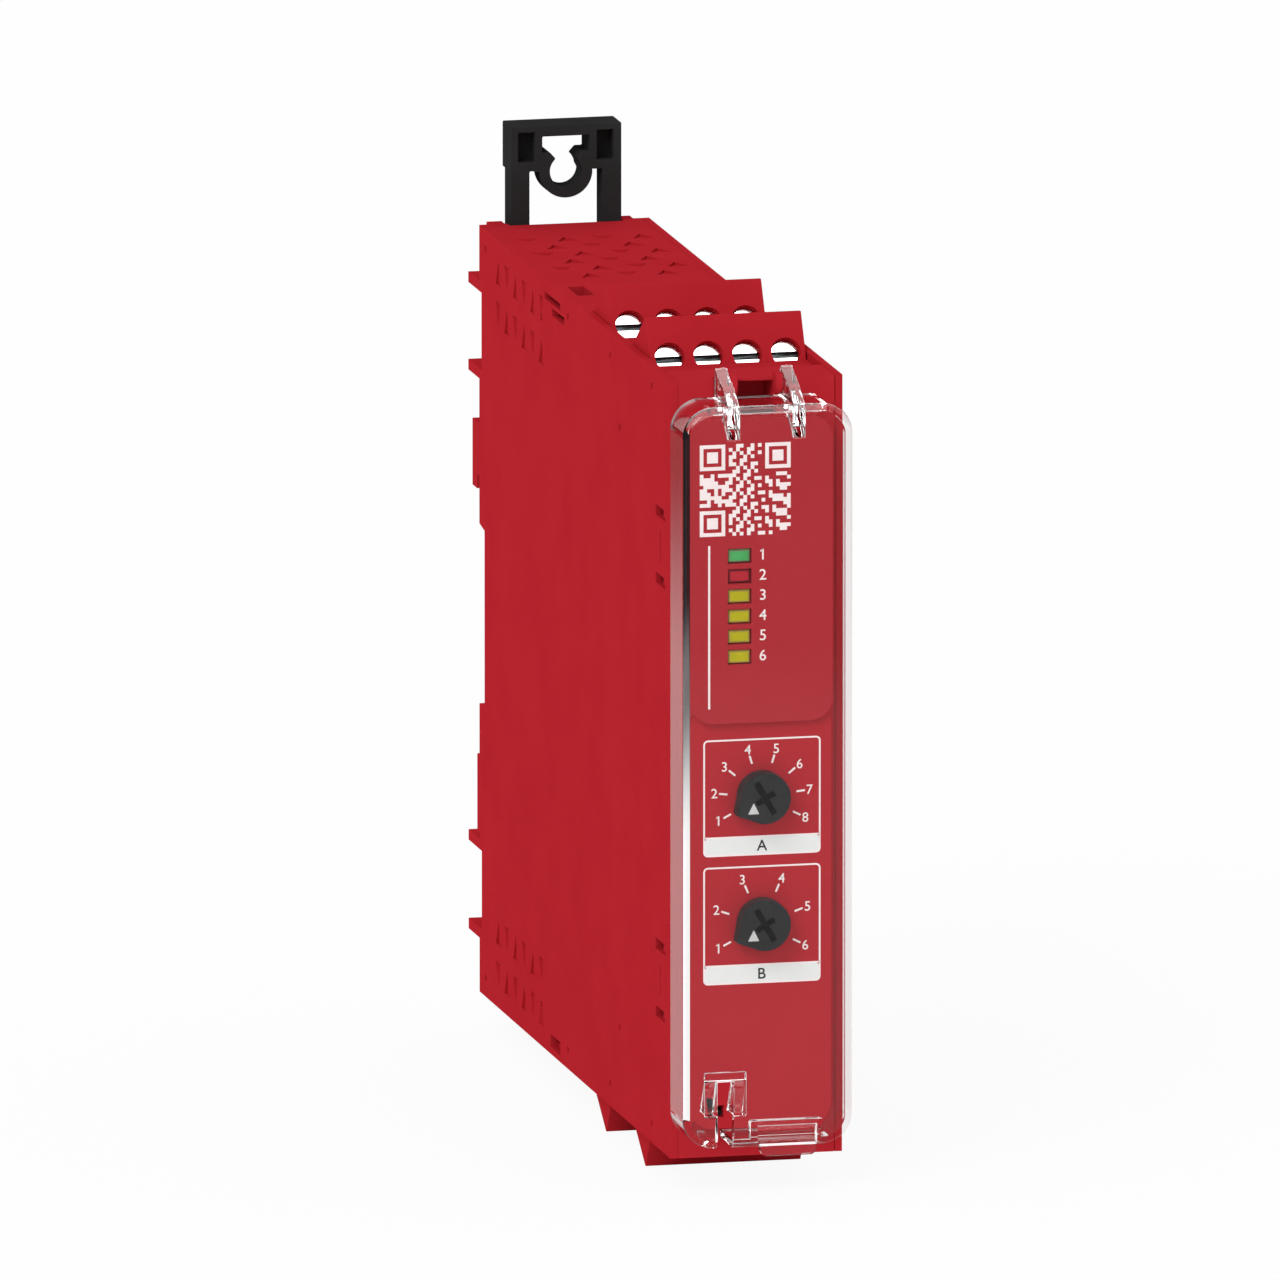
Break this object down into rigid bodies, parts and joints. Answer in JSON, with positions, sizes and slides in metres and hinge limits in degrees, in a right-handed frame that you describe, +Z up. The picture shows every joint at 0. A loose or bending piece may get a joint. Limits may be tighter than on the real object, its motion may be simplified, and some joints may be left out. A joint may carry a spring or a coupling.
{
  "type": "safety relay",
  "caption": "Slim rail-mounted safety relay in a red housing, with a hinged clear front cover, two selector knobs, status lenses, screw terminals and a black mounting slider.",
  "frame": {"origin": "on the plane where the rail's flanges seat, at the rail's centre line and the middle of the width", "axes": "+X across the width, to the right as seen from the front; +Y to the back, towards the rail; +Z up"},
  "size_m": [0.0226, 0.1245, 0.1187],
  "materials": {
    "red_polyamide": "moulded, fine satin",
    "red_front": "moulded, satin",
    "clear_polycarbonate": "clear, polished",
    "black_plastic": "moulded, fine satin",
    "component_plastic": "moulded",
    "screw_steel": "zinc plated",
    "cage_steel": "zinc plated",
    "spring_steel": "drawn wire",
    "circuit_board": "solder mask",
    "ferrite": "sintered",
    "winding_tape": "polyester tape",
    "capacitor_can": "sleeved can",
    "green_lens": "moulded, translucent",
    "red_lens": "moulded, translucent",
    "yellow_lens": "moulded, translucent",
    "led_package": "moulded"
  },
  "bodies": {
    "housing": {"board_connector": "component_plastic", "cover_catch": "black_plastic", "fault_lens": "red_lens", "filter_capacitor": "capacitor_can", "front_bezel": "red_front", "front_board": "circuit_board", "front_header": "component_plastic", "function_switch": "component_plastic", "housing_shell": "red_polyamide", "input_one_lens": "yellow_lens", "input_two_lens": "yellow_lens", "label_panel": "red_front", "latch_spring": "spring_steel", "logic_board": "circuit_board", "lower_front_clamp_cages": "cage_steel", "lower_front_terminal_block": "red_polyamide", "lower_front_terminal_screws": "screw_steel", "lower_rear_clamp_cages": "cage_steel", "lower_rear_terminal_block": "red_polyamide", "lower_rear_terminal_screws": "screw_steel", "main_board": "circuit_board", "microcontrollers": "component_plastic", "power_lens": "green_lens", "safety_relay_1": "component_plastic", "safety_relay_2": "component_plastic", "safety_relay_3": "component_plastic", "side_lid": "red_polyamide", "start_lens": "yellow_lens", "start_switch": "component_plastic", "state_lens": "yellow_lens", "status_leds": "led_package", "storage_capacitor": "capacitor_can", "transformer_coil": "winding_tape", "transformer_core": "ferrite", "upper_front_clamp_cages": "cage_steel", "upper_front_terminal_block": "red_polyamide", "upper_front_terminal_screws": "screw_steel", "upper_rear_clamp_cages": "cage_steel", "upper_rear_terminal_block": "red_polyamide", "upper_rear_terminal_screws": "screw_steel"},
    "cover": {"clear_cover": "clear_polycarbonate"},
    "start_selector": {"start_knob": "black_plastic"},
    "function_selector": {"function_knob": "black_plastic"},
    "upper_slider": {"mounting_slider": "black_plastic"},
    "latch": {"rail_latch": "black_plastic"}
  },
  "joints": [
    {"name": "cover_hinge", "type": "hinge", "parent": "housing", "child": "cover", "pos_m": [-0.0004, -0.11075, 0.05], "axis": [-1, 0, 0], "range_deg": [0, 110]},
    {"name": "start_selector_turn", "type": "hinge", "parent": "housing", "child": "start_selector", "pos_m": [0, -0.1138, -0.0031], "axis": [0, 1, 0], "range_deg": [0, 240]},
    {"name": "function_selector_turn", "type": "hinge", "parent": "housing", "child": "function_selector", "pos_m": [0, -0.1138, -0.0196], "axis": [0, 1, 0], "range_deg": [0, 240]},
    {"name": "mounting_slider_travel", "type": "slide", "parent": "housing", "child": "upper_slider", "axis": [0, 0, -1], "range_m": [0, 0.012]},
    {"name": "rail_latch_travel", "type": "slide", "parent": "housing", "child": "latch", "axis": [0, 0, -1], "range_m": [0, 0.012], "stiffness_N_per_m": 150, "springref_m": -0.004, "deforming": ["latch_spring"]}
  ]
}
